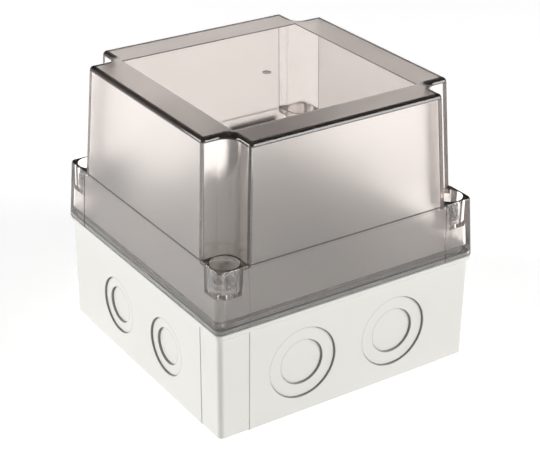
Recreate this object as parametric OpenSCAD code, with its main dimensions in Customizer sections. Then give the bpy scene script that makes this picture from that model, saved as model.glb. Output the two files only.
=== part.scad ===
// Hinged polycarbonate enclosure: a light grey base with round knockouts, a tall smoke-tinted
// clear cover with a screw well in each corner, captive cover screws and two rear hinges.
// Millimetres, +Z up. The origin is the centre of the base's underside. The front faces -Y,
// and the hinges are on the rear, at +Y.

/* [Overall size] */
// Width over the cover's skirt, left to right
body_w = 188; // [180:1:240]
// Depth over the cover's skirt, front to rear
body_d = 188; // [180:1:240]
// Height of the closed enclosure
body_h = 184; // [160:1:230]
// Radius of the four upright corners
corner_r = 3.5; // [2:0.5:6]

/* [Base] */
// Height of the base, floor to rim
base_h = 72; // [68:1:90]
// Thickness of the base's walls
base_wall = 3; // [2.5:0.5:4]
// Thickness of the base's floor
base_floor = 3; // [2:0.5:4]
// How far the base's walls stand in from the cover's skirt
base_inset = 1.2; // [0.8:0.1:1.6]
// How much further the walls lean in at the floor
base_lean = 0.3; // [0:0.1:0.6]
// Rounding of the base's bottom edge
base_edge = 0.8; // [0.4:0.1:1.5]
// How far the corner sections stand back from the panels between them
base_step = 0.4; // [0.2:0.1:0.8]
// Height of the proud band round the rim
rim_h = 2.5; // [2:0.5:4]
// How far the rim stands in from the cover's skirt
rim_inset = 0.2; // [0.1:0.1:0.5]
// Width of the flat top of the rim
rim_w = 6.5; // [6:0.5:8]
// Depth of the thickened wall under the rim
rim_depth = 5; // [4:0.5:8]

/* [Knockouts] */
// Diameter of the outer ring of a front knockout
front_ring_d = 47.4; // [40:0.1:50]
// Diameter of the inner disc of a front knockout
front_disc_d = 30; // [25:0.1:34]
// Distance between the two front knockouts
front_knockout_pitch = 67.6; // [60:0.1:76]
// Height of the front knockouts' centres
front_knockout_z = 35; // [32:0.5:38]
// Diameter of the outer ring of a side knockout
side_ring_d = 37.4; // [30:0.1:42]
// Diameter of the inner disc of a side knockout
side_disc_d = 24; // [18:0.1:26]
// Distance between the two knockouts on a side
side_knockout_pitch = 60.6; // [54:0.1:70]
// Height of the side knockouts' centres
side_knockout_z = 33.5; // [30:0.5:38]
// Depth of each step of a knockout
knockout_step = 1.4; // [1:0.1:1.6]
// Depth of the tool pocket at the foot of each step
pry_depth = 0.8; // [0.4:0.1:1]
// Height of the tool pocket above the foot of its ring
pry_h = 0.9; // [0.5:0.1:1.5]
// Width of the breaking groove at the foot of each step
groove_w = 0.6; // [0.4:0.1:1]
// Depth of the breaking groove
groove_depth = 0.5; // [0.3:0.1:0.8]

/* [Corner posts and floor] */
// Radius of a corner post
post_r = 7.3; // [7:0.1:7.6]
// How far the posts end below the rim
post_drop = 2; // [1.5:0.5:4]
// Thickness of the rib between a post and the walls
post_rib = 3; // [2:0.5:4]
// Outer diameter of the catch plate set into a post
plate_d = 11.8; // [11.6:0.1:12.4]
// Thickness of a catch plate
plate_t = 2; // [1.5:0.1:2.5]
// Diameter of the pocket under a catch plate
pocket_d = 10; // [9.6:0.1:10.6]
// Depth of a post's pocket below its top
pocket_depth = 7; // [6:0.5:9]
// Distance from the cover's side faces to the wall-fixing holes
fixing_side_inset = 34; // [30:1:44]
// Distance from the cover's front and rear faces to the wall-fixing holes
fixing_end_inset = 18; // [15:1:22]
// Diameter of a wall-fixing hole
fixing_hole_d = 5.2; // [4:0.1:6]
// Outer diameter of the turret round a wall-fixing hole
turret_d = 14; // [13:0.5:16]
// Height of a turret above the base's underside
turret_h = 10; // [9:0.5:14]
// Diameter of the recess for a fixing screw's head
head_recess_d = 10; // [9:0.5:11]
// Distance from the cover's faces to the plate bosses
boss_inset = 44; // [38:1:60]
// Outer diameter of a plate boss
boss_d = 9; // [8:0.5:10]
// Height of a plate boss above the base's underside
boss_h = 11; // [9:0.5:14]
// Diameter of a plate boss's pilot hole
boss_hole_d = 3.5; // [3:0.1:4]

/* [Cover] */
// Gap between the base's rim and the edge of the cover
seam_gap = 0.8; // [0.4:0.1:1.2]
// Height of the skirt
skirt_h = 38.7; // [34:0.1:44]
// How far the corner sections stand proud of the panels between them at the skirt's foot
corner_proud_low = 0.3; // [0.2:0.1:0.5]
// How far the corner sections stand proud at the skirt's top
corner_proud_high = 0.6; // [0.5:0.1:1]
// How far the panels lean in, foot to top
skirt_lean = 2.3; // [1.5:0.1:3]
// Rounding of the top edge of the corner sections
skirt_edge = 0.8; // [0.4:0.1:0.9]
// Ledge between the top of the skirt and the foot of the hood
hood_ledge = 0.3; // [0.2:0.1:1]
// How far the hood leans in, foot to top
hood_lean = 4.1; // [2:0.1:6]
// Distance from the skirt's face to the notch that frees a screw well
notch_w = 22.5; // [22:0.5:25]
// How far the notch's faces lean in, foot to top
notch_lean = 3.9; // [2:0.1:5]
// Radius of the round inner corner of a notch
notch_r = 9; // [8.5:0.5:10]
// Radius of the upright edges between wall and notch
arm_edge_r = 2.5; // [1.5:0.5:4]
// Radius of the hood's top edge
top_edge_r = 3.3; // [2:0.1:4]
// Thickness of the cover's walls
cover_wall = 3; // [2.5:0.5:3.5]
// Thickness of the clear window in the top
window_t = 3; // [2.5:0.5:4]
// How much thicker the top is round the window
frame_extra = 0.8; // [0.4:0.1:1.5]
// Distance from the skirt's face to the edge of the window
window_margin = 28.8; // [28:0.1:34]
// Diameter of the gate mark under the middle of the window
gate_d = 5.5; // [3:0.5:8]
// Depth of the gate mark
gate_depth = 0.6; // [0.2:0.1:1]
// Width of the thick foot of the skirt
foot_w = 6.3; // [6:0.1:7]
// Height of the thick foot
foot_h = 4; // [3.5:0.5:6]

/* [Gasket] */
// Distance from the skirt's face to the gasket
gasket_inset = 1.7; // [1.5:0.1:2]
// Width of the gasket
gasket_w = 2.8; // [2:0.1:3]
// How deep the gasket sits in the cover
gasket_seat = 2; // [1.5:0.1:2.5]
// Play on each side of the gasket
gasket_play = 0.1; // [0.05:0.05:0.2]
// Gap that stays between the gasket and the rim
gasket_gap = 0.1; // [0.05:0.05:0.2]

/* [Cover screws] */
// Radius of the mouth of a screw well
well_r = 8.8; // [8.4:0.1:8.9]
// How far a well stands out from the middle of the notch's round corner
well_shift = 1; // [0.5:0.1:1.2]
// Depth of a screw well
well_depth = 15.5; // [13:0.5:16]
// Thickness of the cup round a well
cup_wall = 1.4; // [1:0.1:1.5]
// How much narrower the well is at its floor, on the radius
well_taper = 0.5; // [0.2:0.1:0.8]
// Thickness of the floor of a well
cup_floor = 3; // [2:0.5:4]
// Diameter of a screw's head
head_d = 13; // [11:0.5:15]
// Height of a screw's head
head_h = 4; // [3:0.5:6]
// Number of grip flutes round the head
flute_count = 16; // [8:1:24]
// Width of the driving slot
slot_w = 2; // [1.5:0.1:2.5]
// Depth of the driving slot
slot_depth = 2; // [1.5:0.1:2.5]
// Diameter of a screw's shank
shank_d = 5; // [4:0.5:6]
// Diameter of the neck between shank and wing
neck_d = 3.4; // [3:0.1:3.8]
// Length of the wing that locks under the catch plate
wing_l = 7.2; // [6.6:0.1:7.4]
// Width of the wing
wing_w = 3.4; // [3:0.1:3.6]
// Height of the wing
wing_h = 2.4; // [2:0.1:3]
// Distance from the catch plate down to the wing
wing_gap = 0.6; // [0.4:0.1:0.8]
// Thickness of the seal washer under the head
seal_t = 1.2; // [0.8:0.1:1.5]
// Outer diameter of the seal washer
seal_d = 11; // [9:0.5:13]
// Thickness of the retaining ring
ring_t = 1.5; // [1:0.1:2]
// Outer diameter of the retaining ring
ring_d = 10; // [8:0.5:12]

/* [Hinges] */
// Distance from the cover's side faces to the middle of a hinge
hinge_inset = 44; // [42:1:60]
// Width of a hinge
hinge_w = 36; // [30:1:44]
// Length of the cover's knuckle in the middle
knuckle_w = 11.6; // [8:0.1:14]
// Gap between neighbouring knuckles
knuckle_gap = 0.4; // [0.3:0.1:0.8]
// Radius of the knuckles
knuckle_r = 4.5; // [4:0.1:4.6]
// Distance of the pin behind the cover's skirt
pin_offset = 5; // [5:0.1:6]
// Diameter of a hinge pin
pin_d = 4; // [3:0.1:4.5]
// Thickness of a hinge leaf
leaf_t = 3; // [2.5:0.1:3.5]
// Length of the base leaf below the pin
base_leaf_l = 28; // [24:1:34]
// Length of the cover leaf above the pin
cover_leaf_l = 31; // [26:1:33]
// Distance between the two screws of a leaf
leaf_screw_pitch = 22; // [18:1:26]
// Diameter of a leaf screw's shank
leaf_screw_d = 3.9; // [3:0.1:4]
// Length of a leaf screw below its head
leaf_screw_l = 12; // [10:0.5:13]
// Diameter of a leaf screw's head
leaf_head_d = 7.2; // [6:0.1:8]
// Height of a leaf screw's head
leaf_head_h = 2.4; // [1.8:0.1:3]
// Thickness round a leaf screw inside the walls
screw_boss_wall = 2.5; // [2:0.1:3]

/* [Clearances] */
// Radial play of a pin, screw, ring or plate in its hole
running_play = 0.05; // [0.02:0.01:0.1]
// Play round a wing in the slot of its catch plate
wing_play = 0.4; // [0.3:0.05:0.5]
// Gap between parts that pass without touching
free_gap = 0.3; // [0.3:0.05:0.5]

/* [Hidden] */
$fn = 64;

// Steps in a quarter turn of a lofted corner, and in the rounding of the hood's top edge
corner_steps = 6;
edge_steps = 5;
// A little extra so that cuts run past the faces that they cut
past = 1;

half_w = body_w / 2;
half_d = body_d / 2;

// Heights, from the floor up
base_cavity_top = base_h - rim_depth;
post_top = base_h - post_drop;
cover_z = base_h + seam_gap;
skirt_top = cover_z + skirt_h;
frame_under = body_h - window_t - frame_extra;

// Places of the fixing holes, the plate bosses and the hinges
fixing_x = half_w - fixing_side_inset;
fixing_y = half_d - fixing_end_inset;
boss_x = half_w - boss_inset;
boss_y = half_d - boss_inset;
hinge_x = half_w - hinge_inset;

// Places of the wells, and the hood's faces
well_x = half_w - notch_w + notch_r + well_shift;
well_y = half_d - notch_w + notch_r + well_shift;
panel_inset = corner_proud_low;
panel_top_inset = panel_inset + skirt_lean;
hood_inset = panel_top_inset + hood_ledge;
hood_rise = body_h - skirt_top;
wall_tilt = atan(hood_lean / hood_rise);
notch_tilt = atan(notch_lean / hood_rise);
edge_z = body_h - top_edge_r;
edge_inset = hood_inset + (edge_z - skirt_top) * tan(wall_tilt) + top_edge_r / cos(wall_tilt);
edge_notch = notch_w + (edge_z - skirt_top) * tan(notch_tilt) + top_edge_r / cos(notch_tilt);

// Hinge axis, and how far the cover has swung when a rear wing leaves its plate
pin_y = half_d + pin_offset;
pin_z = base_h + seam_gap / 2;
wing_depth = pin_z - (post_top - plate_t - wing_gap - wing_h);
wing_swing = asin((wing_depth - pin_z + post_top) / (pin_y - well_y));

// Cover screws, at rest unlocked: each wing lies along the slot of its catch plate
well_floor = skirt_top - well_depth;
cup_under = well_floor - cup_floor;
head_under = well_floor + seal_t;
wing_top = post_top - plate_t - wing_gap;
neck_top = base_h;
shank_hole_r = shank_d / 2 + free_gap;
// The slot is longer towards the front, because a wing tilts as the cover swings open
slot_half_l = wing_l / 2 + wing_play;
slot_rear = wing_w / 2 + wing_play;
slot_front = slot_rear + wing_depth * sin(wing_swing) - (pin_y - well_y) * (1 - cos(wing_swing));

// Hinges
leaf_back = half_d;
leaf_relief = knuckle_r + free_gap;
base_screw_z = pin_z - (base_leaf_l + leaf_relief) / 2;
cover_screw_z = pin_z + (cover_leaf_l + leaf_relief) / 2;
leaf_screw_end = leaf_back + leaf_t - leaf_screw_l;
screw_boss_r = leaf_screw_d / 2 + screw_boss_wall;

// ---------------------------------------------------------------- outlines and lofts

// Points of an arc about a centre, from one angle to another
function arc(centre, r, from, to) = [
    for (i = [0:corner_steps])
        let (a = from + (to - from) * i / corner_steps) centre + r * [cos(a), sin(a)]
];

function backwards(points) = [for (i = [len(points) - 1:-1:0]) points[i]];
function mirrored(points, sx, sy) = [for (p = points) [sx * p.x, sy * p.y]];

// A closed outline from its part in the +X +Y quarter
function four_ways(quarter) = concat(
    quarter,
    backwards(mirrored(quarter, -1, 1)),
    mirrored(quarter, -1, -1),
    backwards(mirrored(quarter, 1, -1))
);

// Rectangle with round corners, given by its half sizes
function round_box(hx, hy, r) = four_ways(arc([hx - r, hy - r], r, 0, 90));

// Cross with round ends and round inner corners: its reach, and its arms' half widths
function cross(reach_x, reach_y, arm_x, arm_y, end_r, inner_r) = four_ways(concat(
    arc([reach_x - end_r, arm_y - end_r], end_r, 0, 90),
    arc([arm_x + inner_r, arm_y + inner_r], inner_r, 270, 180),
    arc([arm_x - end_r, reach_y - end_r], end_r, 0, 90)
));

// Rectangle whose corner sections stand back by a step from the panels between them, or stand
// proud of them where the step is negative. A proud step slants outwards, so that the whole
// outline can still be seen from the axis.
function panelled_box(inset, step, r) =
    let (
        px = half_w - inset,
        py = half_d - inset,
        ex = half_w - notch_w,
        ey = half_d - notch_w,
        slant = max(0, -step)
    )
    four_ways(concat(
        [[px, ey], [px - step, ey + slant]],
        arc([px - step - r, py - step - r], r, 0, 90),
        [[ex + slant, py - step], [ex, py]]
    ));

// Solid through a stack of outlines with equal numbers of points, each seen whole from the axis
module loft(rings, heights) {
    count = len(rings[0]);
    last = len(rings) - 1;
    floor_centre = (last + 1) * count;
    points = concat(
        [for (k = [0:last]) for (p = rings[k]) [p.x, p.y, heights[k]]],
        [[0, 0, heights[0]], [0, 0, heights[last]]]
    );
    lower = [
        for (k = [0:last - 1]) for (i = [0:count - 1])
            [k * count + i, (k + 1) * count + i, k * count + (i + 1) % count]
    ];
    upper = [
        for (k = [0:last - 1]) for (i = [0:count - 1])
            [(k + 1) * count + i, (k + 1) * count + (i + 1) % count, k * count + (i + 1) % count]
    ];
    floor_faces = [for (i = [0:count - 1]) [floor_centre, i, (i + 1) % count]];
    roof_faces = [
        for (i = [0:count - 1])
            [floor_centre + 1, last * count + (i + 1) % count, last * count + i]
    ];
    polyhedron(points, concat(floor_faces, lower, upper, roof_faces));
}

// Its children at all four corners, mirrored so that they face outwards
module at_corners(x, y) {
    for (sx = [-1, 1]) for (sy = [-1, 1])
        translate([sx * x, sy * y, 0]) scale_sign(sx, sy) children();
}

module scale_sign(sx, sy) {
    mirror([sx < 0 ? 1 : 0, 0, 0]) mirror([0, sy < 0 ? 1 : 0, 0]) children();
}

// ---------------------------------------------------------------- base

module base_outside() {
    foot_inset = base_inset + base_lean;
    band_z = base_h - rim_h;
    loft([
        panelled_box(foot_inset + base_edge, base_step, corner_r),
        panelled_box(foot_inset, base_step, corner_r),
        panelled_box(base_inset, base_step, corner_r)
    ], [0, base_edge, band_z]);
    flare = base_inset + base_step;
    loft([
        round_box(half_w - flare, half_d - flare, corner_r),
        round_box(half_w - rim_inset, half_d - rim_inset, corner_r),
        round_box(half_w - rim_inset, half_d - rim_inset, corner_r)
    ], [band_z - flare + rim_inset, band_z, base_h]);
}

module base_inside() {
    low = base_inset + base_lean + base_wall;
    high = base_inset + base_wall;
    rim = rim_inset + rim_w;
    ease = rim - high;
    inner_r = corner_r;
    loft([
        round_box(half_w - low, half_d - low, inner_r),
        round_box(half_w - high, half_d - high, inner_r),
        round_box(half_w - rim, half_d - rim, inner_r),
        round_box(half_w - rim, half_d - rim, inner_r)
    ], [base_floor, base_cavity_top - ease, base_cavity_top, base_h + past]);
}

// Stepped plates of one knockout, lying inside the wall: outer face at z = 0, inwards is -Z
module knockout_plate(ring_d, disc_d) {
    translate([0, 0, -knockout_step - base_wall]) cylinder(d = ring_d, h = base_wall);
    translate([0, 0, -2 * knockout_step - base_wall]) cylinder(d = disc_d, h = base_wall);
}

// What is cut away in front of those plates, with the flat tool pocket at the foot of each step
module knockout_recess(ring_d, disc_d) {
    stepped_recess(ring_d, knockout_step);
    stepped_recess(disc_d, 2 * knockout_step);
}

module stepped_recess(d, depth) {
    translate([0, 0, -depth]) cylinder(d = d, h = depth + past);
    difference() {
        translate([0, 0, -depth - groove_depth]) cylinder(d = d, h = depth);
        translate([0, 0, -depth - past]) cylinder(d = d - 2 * groove_w, h = depth + past);
    }
    intersection() {
        translate([0, 0, -depth - pry_depth]) cylinder(d = d, h = depth + past);
        translate([-d / 2, -d / 2, -depth - pry_depth]) cube([d, pry_h, depth]);
    }
}

// Its children on the front wall and on both side walls, two each, with +Y up the wall
module at_front_knockouts() {
    for (sx = [-1, 1])
        translate([sx * front_knockout_pitch / 2, base_inset - half_d, front_knockout_z])
            rotate([90, 0, 0]) children();
}

module at_side_knockouts() {
    for (side = [-1, 1]) for (sy = [-1, 1])
        translate([side * (half_w - base_inset), sy * side_knockout_pitch / 2, side_knockout_z])
            rotate([0, 0, side * 90]) rotate([90, 0, 0]) children();
}

module corner_posts() {
    reach = base_inset + base_wall / 2;
    at_corners(well_x, well_y) {
        cylinder(r = post_r, h = post_top);
        translate([0, -post_rib / 2, 0]) cube([half_w - reach - well_x, post_rib, base_cavity_top]);
        translate([-post_rib / 2, 0, 0]) cube([post_rib, half_d - reach - well_y, base_cavity_top]);
    }
}

module at_fixings() {
    at_corners(fixing_x, fixing_y) children();
}

module at_base_screws() {
    at_leaf_screws(base_screw_z) children();
}

// Its children at the screws of both leaves, with -Z pointing into the wall
module at_leaf_screws(z) {
    for (sx = [-1, 1]) for (s = [-1, 1])
        translate([sx * hinge_x + s * leaf_screw_pitch / 2, leaf_back, z])
            rotate([-90, 0, 0]) children();
}

module leaf_pads(low, high) {
    for (sx = [-1, 1])
        translate([sx * hinge_x - hinge_w / 2 - past, leaf_back - base_wall, low])
            cube([hinge_w + 2 * past, base_wall, high - low]);
}

module leaf_screw_bosses() {
    depth = leaf_back - leaf_screw_end + past;
    translate([0, 0, -depth]) cylinder(r = screw_boss_r, h = depth - base_wall / 2);
}

module leaf_screw_hole() {
    depth = leaf_back - leaf_screw_end;
    translate([0, 0, -depth]) cylinder(r = leaf_screw_d / 2 + running_play, h = depth + past);
}

module base() {
    pad_low = pin_z - base_leaf_l - past;
    pad_high = pin_z - leaf_relief;
    color([0.86, 0.86, 0.84]) difference() {
        union() {
            difference() {
                base_outside();
                base_inside();
            }
            corner_posts();
            at_front_knockouts() knockout_plate(front_ring_d, front_disc_d);
            at_side_knockouts() knockout_plate(side_ring_d, side_disc_d);
            at_fixings() cylinder(d = turret_d, h = turret_h);
            at_corners(boss_x, boss_y) cylinder(d = boss_d, h = boss_h);
            leaf_pads(pad_low, pad_high);
            at_base_screws() leaf_screw_bosses();
        }
        at_front_knockouts() knockout_recess(front_ring_d, front_disc_d);
        at_side_knockouts() knockout_recess(side_ring_d, side_disc_d);
        at_corners(well_x, well_y) {
            translate([0, 0, post_top - pocket_depth]) cylinder(d = pocket_d, h = pocket_depth);
            translate([0, 0, post_top - plate_t])
                cylinder(r = plate_d / 2 + running_play, h = plate_t + past);
        }
        at_fixings() {
            translate([0, 0, -past]) cylinder(d = fixing_hole_d, h = turret_h + 2 * past);
            translate([0, 0, base_floor]) cylinder(d = head_recess_d, h = turret_h);
        }
        at_corners(boss_x, boss_y)
            translate([0, 0, base_floor]) cylinder(d = boss_hole_d, h = boss_h);
        at_base_screws() leaf_screw_hole();
    }
}

// ---------------------------------------------------------------- cover

module skirt_outside() {
    edge_inset = panel_top_inset + hood_ledge / 2;
    loft([
        panelled_box(panel_inset, -corner_proud_low, corner_r),
        panelled_box(panel_top_inset, -corner_proud_high, corner_r),
        panelled_box(edge_inset, (skirt_edge - hood_ledge) / 2 - corner_proud_high, corner_r)
    ], [cover_z, skirt_top - skirt_edge, skirt_top]);
}

// Outline of the hood at a height below its rounded top edge, drawn in by a thickness
function hood_outline(z, thick) =
    let (
        rise = z - skirt_top,
        inset = hood_inset + rise * tan(wall_tilt) + thick,
        notch = notch_w + rise * tan(notch_tilt) + thick
    )
    cross(
        half_w - inset, half_d - inset, half_w - notch, half_d - notch,
        max(0.5, arm_edge_r - thick), notch_r + thick
    );

// Outline of the hood in the rounded top edge, at an angle up its arc
function hood_edge_outline(angle) =
    let (
        back = top_edge_r * (1 - cos(angle)),
        inset = edge_inset - top_edge_r * cos(angle),
        notch = edge_notch - top_edge_r * cos(angle)
    )
    cross(
        half_w - inset, half_d - inset, half_w - notch, half_d - notch,
        max(0.3, arm_edge_r - back), notch_r - back
    );

module hood_outside() {
    root = skirt_top - cover_wall / 2;
    angles = [for (i = [0:edge_steps]) wall_tilt + (90 - wall_tilt) * i / edge_steps];
    loft(
        concat([hood_outline(root, 0)], [for (a = angles) hood_edge_outline(a)]),
        concat([root], [for (a = angles) edge_z + top_edge_r * sin(a)])
    );
}

module hood_inside() {
    root = skirt_top - cover_wall - past;
    loft(
        [hood_outline(root, cover_wall), hood_outline(frame_under, cover_wall)],
        [root, frame_under]
    );
}

module skirt_inside() {
    roof = skirt_top - cover_wall;
    ease = foot_w - cover_wall;
    low = panel_inset + cover_wall + skirt_lean * (foot_h + ease) / skirt_h;
    high = panel_inset + cover_wall + skirt_lean * (roof - cover_z) / skirt_h;
    loft([
        round_box(half_w - foot_w, half_d - foot_w, corner_r),
        round_box(half_w - foot_w, half_d - foot_w, corner_r),
        round_box(half_w - low, half_d - low, corner_r),
        round_box(half_w - high, half_d - high, corner_r)
    ], [cover_z - past, cover_z + foot_h, cover_z + foot_h + ease, roof]);
}

module gasket_ring(play) {
    outer = gasket_inset - play;
    inner = gasket_inset + gasket_w + play;
    difference() {
        linear_extrude(gasket_seat + seam_gap - gasket_gap)
            polygon(round_box(half_w - outer, half_d - outer, corner_r));
        translate([0, 0, -past]) linear_extrude(gasket_seat + seam_gap + 2 * past)
            polygon(round_box(half_w - inner, half_d - inner, corner_r));
    }
}

module well_cups() {
    cup_top = skirt_top - cover_wall / 2;
    at_corners(well_x, well_y) translate([0, 0, cup_under])
        cylinder(r1 = well_r - well_taper + cup_wall, r2 = well_r + cup_wall, h = cup_top - cup_under);
}

module well_hollow() {
    mouth_r = well_r + well_taper * past / well_depth;
    translate([0, 0, well_floor])
        cylinder(r1 = well_r - well_taper, r2 = mouth_r, h = well_depth + past);
    translate([0, 0, cup_under - past]) cylinder(r = shank_hole_r, h = cup_floor + 2 * past);
}

module cover() {
    pad_low = pin_z + leaf_relief;
    pad_high = pin_z + cover_leaf_l + past;
    color([0.55, 0.53, 0.52, 0.45]) difference() {
        union() {
            difference() {
                union() {
                    skirt_outside();
                    hood_outside();
                }
                skirt_inside();
                hood_inside();
            }
            well_cups();
            leaf_pads(pad_low, pad_high);
            at_leaf_screws(cover_screw_z) leaf_screw_bosses();
        }
        translate([0, 0, base_h + gasket_gap]) gasket_ring(gasket_play);
        at_corners(well_x, well_y) well_hollow();
        window_recess();
        translate([0, 0, body_h - window_t - past]) cylinder(d = gate_d, h = gate_depth + past);
        at_leaf_screws(cover_screw_z) leaf_screw_hole();
    }
}

// Shallow recess under the top that leaves the window thinner than its frame
module window_recess() {
    translate([window_margin - half_w, window_margin - half_d, frame_under - past])
        cube([body_w - 2 * window_margin, body_d - 2 * window_margin, frame_extra + past]);
}

module gasket() {
    color([0.3, 0.31, 0.3]) translate([0, 0, base_h + gasket_gap]) gasket_ring(0);
}

// ---------------------------------------------------------------- cover screws and their fittings

module cover_screw(sx, sy) {
    head_r = head_d / 2;
    flute_r = head_r * PI / flute_count / 2;
    color([0.6, 0.58, 0.57, 0.6]) translate([sx * well_x, sy * well_y, 0]) {
        translate([-wing_l / 2, -wing_w / 2, wing_top - wing_h]) cube([wing_l, wing_w, wing_h]);
        translate([0, 0, wing_top]) cylinder(d = neck_d, h = neck_top - wing_top);
        translate([0, 0, neck_top]) cylinder(d = shank_d, h = head_under - neck_top);
        difference() {
            translate([0, 0, head_under]) cylinder(r = head_r, h = head_h);
            for (i = [0:flute_count - 1])
                rotate([0, 0, (i + 0.5) * 360 / flute_count])
                    translate([head_r + flute_r / 3, 0, head_under - past])
                        cylinder(r = flute_r, h = head_h + 2 * past);
            translate([-slot_w / 2, -head_d / 2, head_under + head_h - slot_depth])
                cube([slot_w, head_d, slot_depth + past]);
        }
    }
}

module washer(z, d, t) {
    difference() {
        translate([0, 0, z]) cylinder(d = d, h = t);
        translate([0, 0, z - past]) cylinder(r = shank_d / 2 + running_play, h = t + 2 * past);
    }
}

module screw_seal(sx, sy) {
    color([0.25, 0.25, 0.25])
        translate([sx * well_x, sy * well_y, 0]) washer(head_under - seal_t, seal_d, seal_t);
}

module retaining_ring(sx, sy) {
    color([0.8, 0.8, 0.78])
        translate([sx * well_x, sy * well_y, 0])
            washer(cup_under - free_gap - ring_t, ring_d, ring_t);
}

module catch_plate(sx, sy) {
    color([0.8, 0.66, 0.35]) translate([sx * well_x, sy * well_y, post_top - plate_t])
        difference() {
            cylinder(d = plate_d, h = plate_t);
            translate([-slot_half_l, -slot_front, -past])
                cube([2 * slot_half_l, slot_front + slot_rear, plate_t + 2 * past]);
        }
}

module fixing_cap(sx, sy) {
    plug_h = turret_h * 0.35;
    color([0.84, 0.84, 0.82])
        translate([sx * fixing_x, sy * fixing_y, turret_h]) {
            translate([0, 0, -plug_h]) cylinder(d = head_recess_d - 2 * running_play, h = plug_h);
            cylinder(d = (head_recess_d + turret_d) / 2, h = 1);
        }
}

// ---------------------------------------------------------------- hinges

// Knuckle of a leaf: a barrel on the pin's axis with a web to the leaf's plate. The web runs
// down to the plate of a base leaf (way = -1), or up to that of a cover leaf (way = 1).
module knuckle(from, width, way) {
    translate([from, pin_y, pin_z]) rotate([0, 90, 0]) cylinder(r = knuckle_r, h = width);
    translate([from, leaf_back, way < 0 ? pin_z - leaf_relief : pin_z])
        cube([width, leaf_t, leaf_relief]);
}

module leaf_plate(length, way) {
    low = way < 0 ? pin_z - length : pin_z + leaf_relief;
    translate([-hinge_w / 2, leaf_back, low]) cube([hinge_w, leaf_t, length - leaf_relief]);
}

module pin_bore() {
    translate([-hinge_w / 2 - past, pin_y, pin_z]) rotate([0, 90, 0])
        cylinder(r = pin_d / 2 + running_play, h = hinge_w + 2 * past);
}

module leaf_screw_holes(z) {
    for (s = [-1, 1])
        translate([s * leaf_screw_pitch / 2, leaf_back - past, z]) rotate([-90, 0, 0])
            cylinder(r = leaf_screw_d / 2 + running_play, h = leaf_t + 2 * past);
}

module hinge_base_leaf(side) {
    outer_w = (hinge_w - knuckle_w) / 2 - knuckle_gap;
    color([0.82, 0.82, 0.8]) translate([side * hinge_x, 0, 0]) difference() {
        union() {
            leaf_plate(base_leaf_l, -1);
            knuckle(-hinge_w / 2, outer_w, -1);
            knuckle(hinge_w / 2 - outer_w, outer_w, -1);
        }
        pin_bore();
        leaf_screw_holes(base_screw_z);
    }
}

module hinge_cover_leaf(side) {
    color([0.82, 0.82, 0.8]) translate([side * hinge_x, 0, 0]) difference() {
        union() {
            leaf_plate(cover_leaf_l, 1);
            knuckle(-knuckle_w / 2, knuckle_w, 1);
        }
        pin_bore();
        leaf_screw_holes(cover_screw_z);
    }
}

module hinge_pin(side) {
    color([0.75, 0.75, 0.76])
        translate([side * (hinge_x - hinge_w / 2), pin_y, pin_z])
            rotate([0, side * 90, 0]) {
                cylinder(d = pin_d, h = hinge_w);
                translate([0, 0, hinge_w]) cylinder(d = pin_d + 2, h = 1);
            }
}

module leaf_screw() {
    translate([0, 0, leaf_t - leaf_screw_l]) cylinder(d = leaf_screw_d, h = leaf_screw_l);
    difference() {
        translate([0, 0, leaf_t]) cylinder(d1 = leaf_head_d, d2 = leaf_head_d * 0.8, h = leaf_head_h);
        for (turn = [0, 90])
            rotate([0, 0, turn]) translate([-leaf_head_d / 4, -0.5, leaf_t + leaf_head_h / 2])
                cube([leaf_head_d / 2, 1, leaf_head_h]);
    }
}

module hinge_base_screws() {
    color([0.78, 0.78, 0.8]) at_leaf_screws(base_screw_z) leaf_screw();
}

module hinge_cover_screws() {
    color([0.78, 0.78, 0.8]) at_leaf_screws(cover_screw_z) leaf_screw();
}

// ---------------------------------------------------------------- nodes

base();
cover();
gasket();
cover_screw(-1, -1);  // cover_screw_front_left
cover_screw(1, -1);  // cover_screw_front_right
cover_screw(-1, 1);  // cover_screw_rear_left
cover_screw(1, 1);  // cover_screw_rear_right
screw_seal(-1, -1);  // screw_seal_front_left
screw_seal(1, -1);  // screw_seal_front_right
screw_seal(-1, 1);  // screw_seal_rear_left
screw_seal(1, 1);  // screw_seal_rear_right
retaining_ring(-1, -1);  // retaining_ring_front_left
retaining_ring(1, -1);  // retaining_ring_front_right
retaining_ring(-1, 1);  // retaining_ring_rear_left
retaining_ring(1, 1);  // retaining_ring_rear_right
catch_plate(-1, -1);  // catch_plate_front_left
catch_plate(1, -1);  // catch_plate_front_right
catch_plate(-1, 1);  // catch_plate_rear_left
catch_plate(1, 1);  // catch_plate_rear_right
fixing_cap(-1, -1);  // fixing_cap_front_left
fixing_cap(1, -1);  // fixing_cap_front_right
fixing_cap(-1, 1);  // fixing_cap_rear_left
fixing_cap(1, 1);  // fixing_cap_rear_right
hinge_base_leaf(-1);  // hinge_base_leaf_left
hinge_base_leaf(1);  // hinge_base_leaf_right
hinge_cover_leaf(-1);  // hinge_cover_leaf_left
hinge_cover_leaf(1);  // hinge_cover_leaf_right
hinge_pin(-1);  // hinge_pin_left
hinge_pin(1);  // hinge_pin_right
hinge_base_screws();
hinge_cover_screws();
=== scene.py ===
"""Hinged clear-lidded enclosure: the finishes, the fine pieces and the studio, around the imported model."""
import math

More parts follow.
